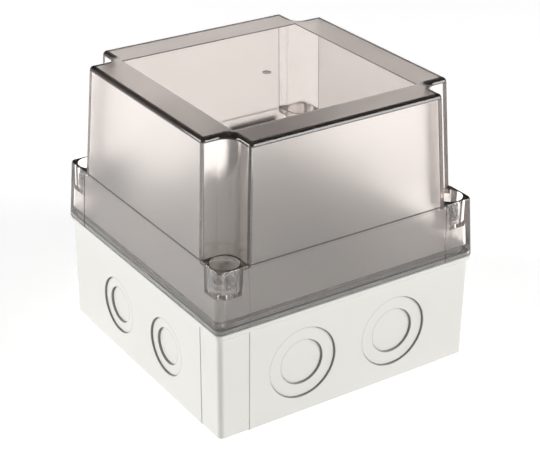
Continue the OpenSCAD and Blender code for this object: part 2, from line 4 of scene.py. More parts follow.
import bpy
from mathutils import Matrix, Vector


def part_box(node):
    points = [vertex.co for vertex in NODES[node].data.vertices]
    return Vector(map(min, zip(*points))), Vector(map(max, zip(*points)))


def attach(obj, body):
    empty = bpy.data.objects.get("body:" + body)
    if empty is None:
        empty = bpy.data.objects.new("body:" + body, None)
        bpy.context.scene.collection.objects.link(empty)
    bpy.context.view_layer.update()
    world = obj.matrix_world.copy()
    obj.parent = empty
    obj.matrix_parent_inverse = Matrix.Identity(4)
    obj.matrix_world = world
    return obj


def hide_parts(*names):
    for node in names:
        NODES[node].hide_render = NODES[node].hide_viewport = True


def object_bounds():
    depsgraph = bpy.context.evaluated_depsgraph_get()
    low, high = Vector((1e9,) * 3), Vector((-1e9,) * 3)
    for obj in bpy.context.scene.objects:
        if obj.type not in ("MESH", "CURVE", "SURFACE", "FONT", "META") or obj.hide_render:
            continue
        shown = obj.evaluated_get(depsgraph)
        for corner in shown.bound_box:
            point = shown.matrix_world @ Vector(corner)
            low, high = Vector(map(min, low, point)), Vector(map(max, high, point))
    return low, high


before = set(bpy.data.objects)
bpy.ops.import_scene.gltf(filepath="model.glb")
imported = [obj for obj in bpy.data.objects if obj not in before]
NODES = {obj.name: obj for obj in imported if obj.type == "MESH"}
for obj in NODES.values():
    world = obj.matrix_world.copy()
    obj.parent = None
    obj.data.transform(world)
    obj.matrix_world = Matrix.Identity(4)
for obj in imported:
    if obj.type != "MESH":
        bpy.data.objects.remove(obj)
CAD_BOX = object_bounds()

bl_info = {
    "name": "Hinged clear-lidded enclosure",
    "version": (1, 0, 0),
    "blender": (4, 5, 0),
    "location": "3D View > Sidebar > Enclosure",
    "description": "Finishes and studio for a wall enclosure with a deep clear cover on hinges",
    "category": "Object",
}

CORNERS = ("front_left", "front_right", "rear_left", "rear_right")
SIDES = ("left", "right")
COVER_LOW, COVER_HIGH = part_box("cover")
WHOLE = max(COVER_HIGH.x - COVER_LOW.x, COVER_HIGH.y - COVER_LOW.y)
# Knockouts: the axis that they are spread along, their offset on it, their height and radii
RINGS = (
    (0, 0.0338, 0.035, (0.0237, 0.015)),
    (1, 0.0303, 0.0335, (0.0187, 0.012)))
# Base: how far its walls stand in from the cover, and how far each ring of a knockout steps in
BASE_INSET = 0.0012
RING_STEP = 0.0014
# Knockout painted shade: how far the painted groove shade reaches inside and outside a ring's radius and
# below its step
MARK_INSIDE = 0.0008
MARK_OUTSIDE = 0.0004
MARK_BELOW = 0.0012
# Painted shade: the share of the groove colour painted into the grooves, onto the step walls and along the
# scored outlines of the knockouts, in place of their shadow
GROOVE_SHADE = 0.45
RING_WALL_SHADE = 0.55
SCORED_SHADE = 0.7
# Cover heights: from its foot up to the hood's ledge and to the end of the thick foot
HOOD_RISE = 0.0387
FOOT_RISE = 0.008
# Cover heights, measured down from the top: window, roof, round gate mark, window frame, bevel
WINDOW_DROP = 0.0036
ROOF_DROP = 0.006
GATE_DROPS = (0.0005, 0.0029)
FRAME_DROP = 0.0046
RIM_DROP = 0.0034
# Cover widths, measured in from its outer faces
WINDOW_MARGIN = 0.0288
SKIN_MARGIN = 0.003
SKIRT_CORNER = 0.024
ARM_DEPTH = 0.016
ARM_SIDE = 0.03
ARM_EDGE = 0.0115
CREASE_END = 0.0226
STEP_PLACE = 0.0222
# Small widths: the window's overlap, the gate mark's radius, half the frame and the step's edge
WINDOW_OVERLAP = 0.0004
GATE_RADIUS = 0.0032
FRAME_HALF = 0.001
STEP_HALF = 0.0006
# The crease where the hood meets the skirt, below and above the ledge
CREASE_BELOW = 0.0012
CREASE_ABOVE = 0.0003
# Shares of the deep tint, painted as shade, that the parts of the cover take, and how matt its notch walls
# are
FRAME_PAINTED_SHADE = 0.5
ARM_PAINTED_SHADE = 0.8
GATE_PAINTED_SHADE = 0.85
STEP_PAINTED_SHADE = 0.8
NOTCH_MATT = 0.45
# How a face's normal tells level, upright, crease and slanting faces apart
STEEP = 0.5
FLAT_TOP = 0.97
CREASE_SLOPE = 0.12
SLANTING = 0.3
INWARD_LEAST = 0.0001
# Mix node: its two colour inputs and its colour output
MIX_FIRST, MIX_SECOND, MIX_OUT = 6, 7, 2
POLYCARBONATE_IOR = 1.585
MOULDED_IOR = 1.5
# Mesh cleaning: points closer than this are one, and faces flatter than this are one
SAME_POINT = 0.000002
SAME_PLANE = math.radians(0.3)
SHARP_EDGE = math.radians(40)
# Floor glow: to the camera near by, added to it far away, and to gloss and glass
NEAR_GLOW = 0.56
FAR_GLOW = 0.5
MIRROR_GLOW = 0.75
FAR_START = 0.9
FAR_END = 1.6
# Height, as the z of the direction looked in, where the studio walls turn into the dim ceiling
CEILING_START = 0.2
CEILING_END = 0.42
# Lamps: name, place, size and share of the lamp power
LAMPS = (
    ("left_lamp", (-1.6, 1.0, 0.5), 1.3, 1.12),
    ("right_lamp", (1.1, -1.5, 0.7), 1.2, 1.0))
LAMP_AIM = Vector((0, 0, 0.09))


def shade(red, green, blue):
    """A colour as it looks on a screen, 0 to 255, turned into the light values that Blender keeps."""
    out = []
    for part in (red, green, blue):
        level = part / 255
        out.append(level / 12.92 if level <= 0.04045 else ((level + 0.055) / 1.055) ** 2.4)
    return tuple(out)


class EnclosureColours(bpy.types.PropertyGroup):
    """Colours of the plastics and metals."""

    base: bpy.props.FloatVectorProperty(
        name="Base", description="Colour of the moulded grey base and its caps",
        subtype="COLOR", size=3, min=0, max=1, default=shade(226, 225, 220))
    # Painted shade: the darker colour painted into the knockouts' grooves, step walls and scored outlines,
    # standing in for their shadow
    groove: bpy.props.FloatVectorProperty(
        name="Grooves", description="Shaded colour of the knockouts' grooves, step walls and outlines",
        subtype="COLOR", size=3, min=0, max=1, default=shade(120, 118, 112))
    cover_window: bpy.props.FloatVectorProperty(
        name="Window", description="Tint of the clear window on top of the cover",
        subtype="COLOR", size=3, min=0, max=1, default=shade(235, 231, 229))
    cover_wall: bpy.props.FloatVectorProperty(
        name="Cover walls", description="Tint of the smoke-clear cover walls",
        subtype="COLOR", size=3, min=0, max=1, default=shade(250, 248, 246))
    # Painted shade: the deep tint on the cover's rounded edges, frame, crease, gate mark, corner steps and
    # arm edges stands in for the darkness that light through the clear plastic gives there
    cover_edge_shade: bpy.props.FloatVectorProperty(
        name="Cover edges", description="Deep tint painted on the rounded edges, frame and crease",
        subtype="COLOR", size=3, min=0, max=1, default=(0.035, 0.026, 0.022))
    cover_body: bpy.props.FloatVectorProperty(
        name="Cover body", description="What the body of the clear plastic lets through as it gets thicker",
        subtype="COLOR", size=3, min=0, max=1, default=(0.5, 0.36, 0.3))
    gasket: bpy.props.FloatVectorProperty(
        name="Gasket", description="Colour of the foamed seal",
        subtype="COLOR", size=3, min=0, max=1, default=shade(78, 82, 76))
    seal: bpy.props.FloatVectorProperty(
        name="Sealing washers", description="Colour of the soft washers under the cover screws",
        subtype="COLOR", size=3, min=0, max=1, default=shade(216, 214, 208))
    brass: bpy.props.FloatVectorProperty(
        name="Brass", description="Colour of the catch plates",
        subtype="COLOR", size=3, min=0, max=1, default=shade(201, 172, 112))
    steel: bpy.props.FloatVectorProperty(
        name="Steel", description="Colour of the hinge pins and small screws",
        subtype="COLOR", size=3, min=0, max=1, default=shade(186, 187, 189))
    floor: bpy.props.FloatVectorProperty(
        name="Floor", description="Colour of the studio floor",
        subtype="COLOR", size=3, min=0, max=1, default=shade(246, 246, 246))


class EnclosureSizes(bpy.types.PropertyGroup):
    """Sizes of the finishes and of the studio."""

    smooth_angle: bpy.props.FloatProperty(
        name="Smooth angle", description="Edges flatter than this are shaded as one curved surface",
        subtype="ANGLE", unit="ROTATION", min=0, max=math.pi, default=math.radians(24))
    grain: bpy.props.FloatProperty(
        name="Mould grain", description="Size of the fine grain that the mould leaves in the plastic",
        subtype="DISTANCE", unit="LENGTH", min=0.00005, max=0.01, default=0.0006)
    grain_depth: bpy.props.FloatProperty(
        name="Grain depth", description="Depth of the grain on the matt faces",
        subtype="DISTANCE", unit="LENGTH", min=0, max=0.001, default=0.00001)
    floor_size: bpy.props.FloatProperty(
        name="Floor size", description="Length of each side of the studio floor",
        subtype="DISTANCE", unit="LENGTH", min=1, max=40, default=8)
    body_density: bpy.props.FloatProperty(
        name="Body density", description="How fast the body of the clear plastic darkens with thickness",
        min=0, max=500, default=52)
    edge_rounding: bpy.props.FloatProperty(
        name="Edge rounding", description="Width of the fine rounding on the sharp moulded edges",
        subtype="DISTANCE", unit="LENGTH", min=0, max=0.001, default=0.0002)
    lamp_power: bpy.props.FloatProperty(
        name="Lamp power", description="Power of the right lamp; the left one is a little stronger",
        subtype="POWER", unit="POWER", min=0, max=200, default=29)
    world_light: bpy.props.FloatProperty(
        name="World light", description="Strength of the even light from the studio walls",
        min=0, max=2, default=0.6)
    ceiling_light: bpy.props.FloatProperty(
        name="Ceiling light", description="Strength of the dim studio ceiling",
        min=0, max=2, default=0.1)
    camera_lens: bpy.props.FloatProperty(
        name="Lens", description="Focal length of the camera",
        subtype="DISTANCE_CAMERA", unit="CAMERA", min=10, max=400, default=100.3)
    camera_place: bpy.props.FloatVectorProperty(
        name="Camera place", description="Where the camera stands",
        subtype="TRANSLATION", unit="LENGTH", size=3, default=(-0.47346, -0.72034, 0.51491))
    camera_turn: bpy.props.FloatVectorProperty(
        name="Camera turn", description="How the camera is turned about the three axes",
        subtype="EULER", unit="ROTATION", size=3,
        default=(math.radians(63.154), math.radians(-0.335), math.radians(-33.319)))


def colours():
    """The colours that the panel shows."""
    return bpy.context.scene.enclosure_colours


def sizes():
    """The sizes that the panel shows."""
    return bpy.context.scene.enclosure_sizes


# Node trees

def new_group(name, inputs, outputs):
    """An empty shader node group with its sockets; each socket is (name, kind, default)."""
    tree = bpy.data.node_groups.new(name, "ShaderNodeTree")
    for label, kind, default in inputs:
        socket = tree.interface.new_socket(name=label, in_out="INPUT", socket_type=kind)
        if default is not None:
            socket.default_value = default
    for label, kind in outputs:
        tree.interface.new_socket(name=label, in_out="OUTPUT", socket_type=kind)
    return tree


def put(tree, kind, place=(0, 0), **settings):
    """Adds one node and sets its plain properties."""
    node = tree.nodes.new(kind)
    node.location = place
    for key, value in settings.items():
        setattr(node, key, value)
    return node


def maths(tree, operation, first, second=None, third=None, place=(0, 0), clamp=False):
    """A Math node; each term is a number or another node's socket."""
    node = put(tree, "ShaderNodeMath", place, operation=operation, use_clamp=clamp)
    for slot, term in enumerate((first, second, third)):
        if term is None:
            continue
        if isinstance(term, (int, float)):
            node.inputs[slot].default_value = term
        else:
            tree.links.new(term, node.inputs[slot])
    return node.outputs[0]


def grain_group():
    """Fine mould grain: a height for a bump, a roughness and a slow change of tone."""
    name = "Mould grain"
    if name in bpy.data.node_groups:
        return bpy.data.node_groups[name]
    tree = new_group(
        name,
        (("Grain size", "NodeSocketFloat", 0.0006), ("Rough low", "NodeSocketFloat", 0.3),
         ("Rough high", "NodeSocketFloat", 0.4), ("Tone change", "NodeSocketFloat", 0.03)),
        (("Height", "NodeSocketFloat"), ("Roughness", "NodeSocketFloat"), ("Tone", "NodeSocketFloat")))
    links = tree.links
    given = put(tree, "NodeGroupInput", (-900, 0))
    out = put(tree, "NodeGroupOutput", (700, 0))
    where = put(tree, "ShaderNodeTexCoord", (-900, 300))
    count = maths(tree, "DIVIDE", 1.0, given.outputs["Grain size"], place=(-700, 0))
    fine = put(tree, "ShaderNodeTexNoise", (-450, 200))
    fine.inputs["Detail"].default_value = 3
    fine.inputs["Roughness"].default_value = 0.55
    links.new(where.outputs["Object"], fine.inputs["Vector"])
    links.new(count, fine.inputs["Scale"])
    cells = put(tree, "ShaderNodeTexVoronoi", (-450, -100), feature="SMOOTH_F1")
    cells.inputs["Smoothness"].default_value = 0.6
    links.new(where.outputs["Object"], cells.inputs["Vector"])
    links.new(count, cells.inputs["Scale"])
    height = maths(tree, "MULTIPLY_ADD", cells.outputs["Distance"], 0.6, fine.outputs["Fac"], (-200, 100))
    links.new(height, out.inputs["Height"])
    slow = put(tree, "ShaderNodeTexNoise", (-450, -450))
    slow.inputs["Scale"].default_value = 28
    slow.inputs["Detail"].default_value = 4
    links.new(where.outputs["Object"], slow.inputs["Vector"])
    spread = put(tree, "ShaderNodeMapRange", (-200, -300))
    links.new(slow.outputs["Fac"], spread.inputs["Value"])
    spread.inputs["From Min"].default_value = 0.3
    spread.inputs["From Max"].default_value = 0.7
    links.new(given.outputs["Rough low"], spread.inputs["To Min"])
    links.new(given.outputs["Rough high"], spread.inputs["To Max"])
    links.new(spread.outputs["Result"], out.inputs["Roughness"])
    offset = maths(tree, "SUBTRACT", slow.outputs["Fac"], 0.5, place=(-200, -550))
    scaled = maths(tree, "MULTIPLY", offset, given.outputs["Tone change"], place=(0, -550))
    tone = maths(tree, "ADD", scaled, 1.0, place=(200, -550))
    links.new(tone, out.inputs["Tone"])
    return tree


def grained(tree, grain, rough, tone=0.03):
    """Adds the mould grain with its size, its range of roughness and its change of tone."""
    effect = put(tree, "ShaderNodeGroup", (-700, 0))
    effect.node_tree = grain_group()
    effect.inputs["Grain size"].default_value = grain
    effect.inputs["Rough low"].default_value = rough[0]
    effect.inputs["Rough high"].default_value = rough[1]
    effect.inputs["Tone change"].default_value = tone
    return effect


def scored_rings_group():
    """1 on the thin scored outline of each knockout and 0 elsewhere, where the base paints shade in place of
    the outline's shadow.
    """
    name = "Scored rings"
    if name in bpy.data.node_groups:
        return bpy.data.node_groups[name]
    tree = new_group(
        name, (("Line width", "NodeSocketFloat", 0.0004), ("Skin", "NodeSocketFloat", 0.09)),
        (("Line", "NodeSocketFloat"),))
    given = put(tree, "NodeGroupInput", (-1400, -400))
    out = put(tree, "NodeGroupOutput", (900, 0))
    where = put(tree, "ShaderNodeTexCoord", (-1600, 0))
    parts = put(tree, "ShaderNodeSeparateXYZ", (-1400, 0))
    tree.links.new(where.outputs["Object"], parts.inputs[0])
    total = None
    for side, offset, height, radii in RINGS:
        row = -700 * side
        along = maths(tree, "ABSOLUTE", parts.outputs[side], place=(-1200, row))
        along = maths(tree, "SUBTRACT", along, offset, place=(-1000, row))
        along = maths(tree, "MULTIPLY", along, along, place=(-800, row))
        up = maths(tree, "SUBTRACT", parts.outputs[2], height, place=(-1000, row - 200))
        up = maths(tree, "MULTIPLY_ADD", up, up, along, (-800, row - 200))
        away = maths(tree, "SQRT", up, place=(-600, row))
        outer = maths(tree, "ABSOLUTE", parts.outputs[1 - side], place=(-1200, row - 400))
        outer = maths(tree, "GREATER_THAN", outer, given.outputs["Skin"], place=(-600, row - 400))
        for step, radius in enumerate(radii):
            gap = maths(tree, "SUBTRACT", away, radius, place=(-400, row - 200 * step))
            gap = maths(tree, "ABSOLUTE", gap, place=(-200, row - 200 * step))
            gap = maths(tree, "DIVIDE", gap, given.outputs["Line width"], place=(0, row - 200 * step))
            line = maths(tree, "SUBTRACT", 1.0, gap, place=(200, row - 200 * step), clamp=True)
            line = maths(tree, "MULTIPLY", line, outer, place=(400, row - 200 * step))
            total = line if total is None else maths(tree, "MAXIMUM", total, line, place=(600, row))
    tree.links.new(total, out.inputs["Line"])
    return tree


def new_material(name):
    """A material with its shader and output, ready for more nodes."""
    material = bpy.data.materials.new(name)
    material.use_nodes = True
    tree = material.node_tree
    shader = tree.nodes["Principled BSDF"]
    return material, tree, shader


def toned(tree, colour, tone, place=(-300, 200)):
    """A colour multiplied by a slow change of tone."""
    mix = put(tree, "ShaderNodeMix", place, data_type="RGBA", blend_type="MULTIPLY")
    mix.inputs["Factor"].default_value = 1
    grey = put(tree, "ShaderNodeCombineColor", (place[0] - 200, place[1] - 150))
    for part in range(3):
        tree.links.new(tone, grey.inputs[part])
    mix.inputs[MIX_FIRST].default_value = (*colour, 1)
    tree.links.new(grey.outputs[0], mix.inputs[MIX_SECOND])
    return mix.outputs[MIX_OUT]


def bumped(tree, shader, height, distance, strength=1.0):
    """Feeds a height into the shader's normal."""
    bump = put(tree, "ShaderNodeBump", (-200, -300))
    bump.inputs["Distance"].default_value = distance
    bump.inputs["Strength"].default_value = strength
    tree.links.new(height, bump.inputs["Height"])
    tree.links.new(bump.outputs["Normal"], shader.inputs["Normal"])
    return bump


def moulded_plastic(name, colour, grain, depth, rough=(0.36, 0.5), tone=0.03, shadow=None):
    """Opaque moulded plastic with a fine satin grain; it can take painted shade on faces marked as grooves
    and along the knockouts' scored outlines.
    """
    material, tree, shader = new_material(name)
    effect = grained(tree, grain, rough, tone)
    tree.links.new(effect.outputs["Roughness"], shader.inputs["Roughness"])
    skin = toned(tree, colour, effect.outputs["Tone"])
    if shadow is not None:
        # Painted shade: marked groove faces and the scored outlines are mixed towards the shadow colour
        marked = put(tree, "ShaderNodeAttribute", (-700, 500), attribute_name="groove")
        deep = put(tree, "ShaderNodeMix", (-100, 400), data_type="RGBA")
        scored = put(tree, "ShaderNodeGroup", (-700, 700))
        scored.node_tree = scored_rings_group()
        line = maths(tree, "MULTIPLY", scored.outputs["Line"], SCORED_SHADE, place=(-500, 700))
        line = maths(tree, "MAXIMUM", line, marked.outputs["Fac"], place=(-300, 600))
        tree.links.new(line, deep.inputs["Factor"])
        tree.links.new(skin, deep.inputs[MIX_FIRST])
        deep.inputs[MIX_SECOND].default_value = (*shadow, 1)
        skin = deep.outputs[MIX_OUT]
    tree.links.new(skin, shader.inputs["Base Color"])
    shader.inputs["IOR"].default_value = MOULDED_IOR
    bumped(tree, shader, effect.outputs["Height"], depth)
    return material


def bodied(tree):
    """Gives clear plastic a tinted body, so that it darkens where light runs along inside it."""
    body = put(tree, "ShaderNodeVolumeAbsorption", (0, -300))
    body.inputs["Color"].default_value = (*colours().cover_body, 1)
    body.inputs["Density"].default_value = sizes().body_density
    tree.links.new(body.outputs[0], tree.nodes["Material Output"].inputs["Volume"])


def clear_plastic(name, window, wall, edge, grain, depth):
    """Smoke-clear polycarbonate, matt where its faces are marked so, and with a deep tint painted as shade
    on the faces marked for it.
    """
    material, tree, shader = new_material(name)
    effect = grained(tree, grain, (0.34, 0.42))
    inner = put(tree, "ShaderNodeAttribute", (-900, 300), attribute_name="matt_side")
    matt = inner.outputs["Fac"]
    rough = maths(tree, "MULTIPLY", effect.outputs["Roughness"], matt, place=(-600, 0))
    rough = maths(tree, "ADD", rough, 0.015, place=(-450, 0))
    tree.links.new(rough, shader.inputs["Roughness"])
    zone = put(tree, "ShaderNodeAttribute", (-900, 500), attribute_name="window_zone")
    mix = put(tree, "ShaderNodeMix", (-500, 400), data_type="RGBA")
    mix.inputs[MIX_FIRST].default_value = (*wall, 1)
    mix.inputs[MIX_SECOND].default_value = (*window, 1)
    tree.links.new(zone.outputs["Fac"], mix.inputs["Factor"])
    # Painted shade: the deep edge tint is mixed in where the faces are marked for it
    border = put(tree, "ShaderNodeAttribute", (-900, 700), attribute_name="painted_edge_shade")
    deep = put(tree, "ShaderNodeMix", (-300, 500), data_type="RGBA")
    tree.links.new(border.outputs["Fac"], deep.inputs["Factor"])
    tree.links.new(mix.outputs[MIX_OUT], deep.inputs[MIX_FIRST])
    deep.inputs[MIX_SECOND].default_value = (*edge, 1)
    tree.links.new(deep.outputs[MIX_OUT], shader.inputs["Base Color"])
    height = maths(tree, "MULTIPLY", effect.outputs["Height"], matt, place=(-400, -300))
    bumped(tree, shader, height, depth, 0.2)
    shader.inputs["IOR"].default_value = POLYCARBONATE_IOR
    shader.inputs["Metallic"].default_value = 0
    shader.inputs["Transmission Weight"].default_value = 0.96
    bodied(tree)
    return material


def clear_part(name, colour, grain):
    """A small clear moulding with a faint unevenness in its polish."""
    material, tree, shader = new_material(name)
    effect = grained(tree, grain, (0.02, 0.06))
    tree.links.new(effect.outputs["Roughness"], shader.inputs["Roughness"])
    tree.links.new(toned(tree, colour, effect.outputs["Tone"]), shader.inputs["Base Color"])
    shader.inputs["IOR"].default_value = POLYCARBONATE_IOR
    shader.inputs["Metallic"].default_value = 0
    shader.inputs["Transmission Weight"].default_value = 1
    return material


def metal(name, colour, grain, depth, rough=(0.22, 0.36)):
    """Plated or plain metal with a fine uneven polish."""
    material, tree, shader = new_material(name)
    effect = grained(tree, grain, rough, 0.12)
    tree.links.new(effect.outputs["Roughness"], shader.inputs["Roughness"])
    tree.links.new(toned(tree, colour, effect.outputs["Tone"]), shader.inputs["Base Color"])
    shader.inputs["Metallic"].default_value = 1
    bumped(tree, shader, effect.outputs["Height"], depth)
    return material


def finish_node(node, material):
    """Gives a carried-over node its material in every slot."""
    obj = NODES[node]
    if not obj.material_slots:
        obj.data.materials.append(material)
    for slot in obj.material_slots:
        slot.material = material


def alone(obj):
    """Deselects everything, then selects one object and makes it active."""
    bpy.ops.object.select_all(action="DESELECT")
    obj.select_set(True)
    bpy.context.view_layer.objects.active = obj


def dressed_copy(node, name, material, angle, rounding=0.0):
    """A copy of a node, merged into one skin, with its sharp edges eased and its curves smooth."""
    source = NODES[node]
    mesh = source.data.copy()
    piece = bpy.data.objects.new(name, mesh)
    bpy.context.scene.collection.objects.link(piece)
    alone(piece)
    bpy.ops.object.mode_set(mode="EDIT")
    bpy.ops.mesh.select_all(action="SELECT")
    bpy.ops.mesh.remove_doubles(threshold=SAME_POINT)
    bpy.ops.mesh.dissolve_limited(angle_limit=SAME_PLANE)
    bpy.ops.object.mode_set(mode="OBJECT")
    if mesh.has_custom_normals:
        bpy.ops.mesh.customdata_custom_splitnormals_clear()
    if rounding > 0:
        ease = piece.modifiers.new("Eased edges", "BEVEL")
        ease.width = rounding
        ease.segments = 2
        ease.limit_method = "ANGLE"
        ease.angle_limit = SHARP_EDGE
        ease.use_clamp_overlap = True
        bpy.ops.object.modifier_apply(modifier=ease.name)
    bpy.ops.object.shade_smooth_by_angle(angle=angle)
    even = piece.modifiers.new("Even shading", "WEIGHTED_NORMAL")
    even.keep_sharp = True
    even.weight = 100
    bpy.ops.object.modifier_apply(modifier=even.name)
    mesh.materials.clear()
    mesh.materials.append(material)
    return piece


def mark_faces(piece, name, test):
    """Writes on each face what test(centre, normal) gives for it: true or false, or a number."""
    mesh = piece.data
    layer = mesh.attributes.new(name=name, type="FLOAT", domain="FACE")
    values = [float(test(face.center, face.normal)) for face in mesh.polygons]
    layer.data.foreach_set("value", values)


class ENCLOSURE_OT_base(bpy.types.Operator):
    """Gives the base its light grey satin plastic and paints shade into its knockouts' grooves, step walls
    and scored outlines
    """

    bl_idname = "enclosure.base"
    bl_label = "Base"

    def execute(self, context):
        paint = moulded_plastic(
            "Grey moulded base", tuple(colours().base), sizes().grain, sizes().grain_depth,
            shadow=tuple(colours().groove))
        piece = dressed_copy(
            "base", "base_skin", paint, sizes().smooth_angle, sizes().edge_rounding)
        panel = WHOLE / 2 - BASE_INSET

        # Painted shade: each knockout's groove faces and step walls are marked for the painted shadow colour
        def groove(centre, normal):
            for side, offset, height, radii in RINGS:
                depth = panel - abs(centre[1 - side])
                away = math.hypot(abs(centre[side]) - offset, centre.z - height)
                for step, radius in enumerate(radii):
                    floor = RING_STEP * (step + 1)
                    if not radius - MARK_INSIDE < away < radius + MARK_OUTSIDE:
                        continue
                    if floor < depth < floor + MARK_BELOW:
                        return GROOVE_SHADE
                    if floor - RING_STEP < depth <= floor and abs(normal[1 - side]) < STEEP:
                        return RING_WALL_SHADE
            return 0.0

        mark_faces(piece, "groove", groove)
        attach(piece, "base_body")
        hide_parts("base")
        return {"FINISHED"}


class ENCLOSURE_OT_cover(bpy.types.Operator):
    """Makes the deep smoke-clear cover with its matt inner walls and clear window"""

    bl_idname = "enclosure.cover"
    bl_label = "Cover"

    def execute(self, context):
        plastic = clear_plastic(
            "Smoke-clear cover", tuple(colours().cover_window), tuple(colours().cover_wall),
            tuple(colours().cover_edge_shade), sizes().grain, sizes().grain_depth)
        piece = dressed_copy(
            "cover", "cover_skin", plastic, sizes().smooth_angle, sizes().edge_rounding)
        half = WHOLE / 2
        window = half - WINDOW_MARGIN + WINDOW_OVERLAP
        top = COVER_HIGH.z
        hood_low = COVER_LOW.z + HOOD_RISE
        foot_high = COVER_LOW.z + FOOT_RISE
        gate_high, gate_low = (top - drop for drop in GATE_DROPS)

        def inward(centre, normal):
            return centre.x * normal.x + centre.y * normal.y < -INWARD_LEAST

        def in_window(centre, normal):
            return centre.z > top - WINDOW_DROP and abs(centre.x) < window and abs(centre.y) < window

        def matt(centre, normal):
            if in_window(centre, normal):
                return False
            if centre.z > top - ROOF_DROP:
                return normal.z < -STEEP
            if centre.z < foot_high:
                return abs(normal.z) > STEEP or inward(centre, normal)
            if abs(normal.z) > STEEP:
                return False
            reach = max(abs(centre.x), abs(centre.y))
            narrow = min(abs(centre.x), abs(centre.y))
            if not inward(centre, normal) or reach > half - SKIN_MARGIN:
                return False
            if centre.z < hood_low:
                return narrow < half - SKIRT_CORNER
            return True if reach > half - ARM_DEPTH and narrow < half - ARM_SIDE else NOTCH_MATT

        # Painted shade: rounded edges, window frame, crease, gate mark, corner steps and arm edges are
        # marked for a deep tint that stands in for the darkness light gives them through the clear plastic
        def painted_edge_shade(centre, normal):
            reach = max(abs(centre.x), abs(centre.y))
            narrow = min(abs(centre.x), abs(centre.y))
            if reach < GATE_RADIUS and gate_low < centre.z < gate_high:
                return GATE_PAINTED_SHADE
            if abs(reach - window) < FRAME_HALF and top - FRAME_DROP < centre.z and abs(normal.z) < STEEP:
                return 1.0
            if inward(centre, normal) or in_window(centre, normal):
                return 0.0
            if centre.z > top - RIM_DROP:
                return FRAME_PAINTED_SHADE if normal.z > FLAT_TOP else 1.0
            by_crease = hood_low - CREASE_BELOW < centre.z < hood_low + CREASE_ABOVE
            if by_crease and narrow < half - CREASE_END:
                return 1.0 if normal.z > CREASE_SLOPE else 0.0
            diagonal = min(abs(normal.x), abs(normal.y)) > SLANTING
            if centre.z < hood_low and abs(narrow - (half - STEP_PLACE)) < STEP_HALF and diagonal:
                return STEP_PAINTED_SHADE
            on_arm = centre.z > hood_low and reach > half - ARM_EDGE
            return ARM_PAINTED_SHADE if on_arm and diagonal else 0.0

        mark_faces(piece, "window_zone", in_window)
        mark_faces(piece, "matt_side", matt)
        mark_faces(piece, "painted_edge_shade", painted_edge_shade)
        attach(piece, "lid")
        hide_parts("cover")
        return {"FINISHED"}


class ENCLOSURE_OT_gasket(bpy.types.Operator):
    """Gives the gasket its foamed finish"""

    bl_idname = "enclosure.gasket"
    bl_label = "Gasket"

    def execute(self, context):
        foam = moulded_plastic(
            "Foamed gasket", tuple(colours().gasket), sizes().grain, sizes().grain_depth * 4,
            rough=(0.7, 0.85), tone=0.15)
        finish_node("gasket", foam)
        return {"FINISHED"}


class ENCLOSURE_OT_cover_screws(bpy.types.Operator):
    """Finishes the four clear quarter-turn screws, their washers and their retaining rings"""

    bl_idname = "enclosure.cover_screws"
    bl_label = "Cover screws"

    def execute(self, context):
        clear = clear_part("Clear screw plastic", tuple(colours().cover_window), sizes().grain)
        soft = moulded_plastic(
            "Soft washer rubber", tuple(colours().seal), sizes().grain, sizes().grain_depth,
            rough=(0.5, 0.65), tone=0.05)
        ring = clear_part("Clear retaining ring", tuple(colours().cover_window), sizes().grain)
        for corner in CORNERS:
            piece = dressed_copy(
                "cover_screw_" + corner, "screw_skin_" + corner, clear, sizes().smooth_angle)
            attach(piece, "screw_" + corner)
            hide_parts("cover_screw_" + corner)
            finish_node("screw_seal_" + corner, soft)
            finish_node("retaining_ring_" + corner, ring)
        return {"FINISHED"}


class ENCLOSURE_OT_catch_plates(bpy.types.Operator):
    """Finishes the four brass catch plates under the cover screws"""

    bl_idname = "enclosure.catch_plates"
    bl_label = "Catch plates"

    def execute(self, context):
        brass = metal("Catch plate brass", tuple(colours().brass), sizes().grain, sizes().grain_depth)
        for corner in CORNERS:
            finish_node("catch_plate_" + corner, brass)
        return {"FINISHED"}


class ENCLOSURE_OT_fixing_caps(bpy.types.Operator):
    """Finishes the four caps that cover the wall-fixing screws"""

    bl_idname = "enclosure.fixing_caps"
    bl_label = "Fixing caps"

    def execute(self, context):
        paint = moulded_plastic(
            "Grey cap plastic", tuple(colours().base), sizes().grain, sizes().grain_depth, (0.3, 0.42))
        for corner in CORNERS:
            finish_node("fixing_cap_" + corner, paint)
        return {"FINISHED"}


class ENCLOSURE_OT_hinges(bpy.types.Operator):
    """Finishes both hinges: plastic leaves, steel pins and small steel screws"""

    bl_idname = "enclosure.hinges"
    bl_label = "Hinges"

    def execute(self, context):
        leaf = moulded_plastic(
            "Hinge leaf plastic", tuple(colours().base), sizes().grain, sizes().grain_depth, (0.32, 0.45))
        clear = clear_part("Clear hinge leaf", tuple(colours().cover_wall), sizes().grain)
        steel = metal("Bright steel", tuple(colours().steel), sizes().grain, sizes().grain_depth)
        for side in SIDES:
            finish_node("hinge_base_leaf_" + side, leaf)
            finish_node("hinge_cover_leaf_" + side, clear)
            finish_node("hinge_pin_" + side, steel)
        finish_node("hinge_base_screws", steel)
        finish_node("hinge_cover_screws", steel)
        return {"FINISHED"}


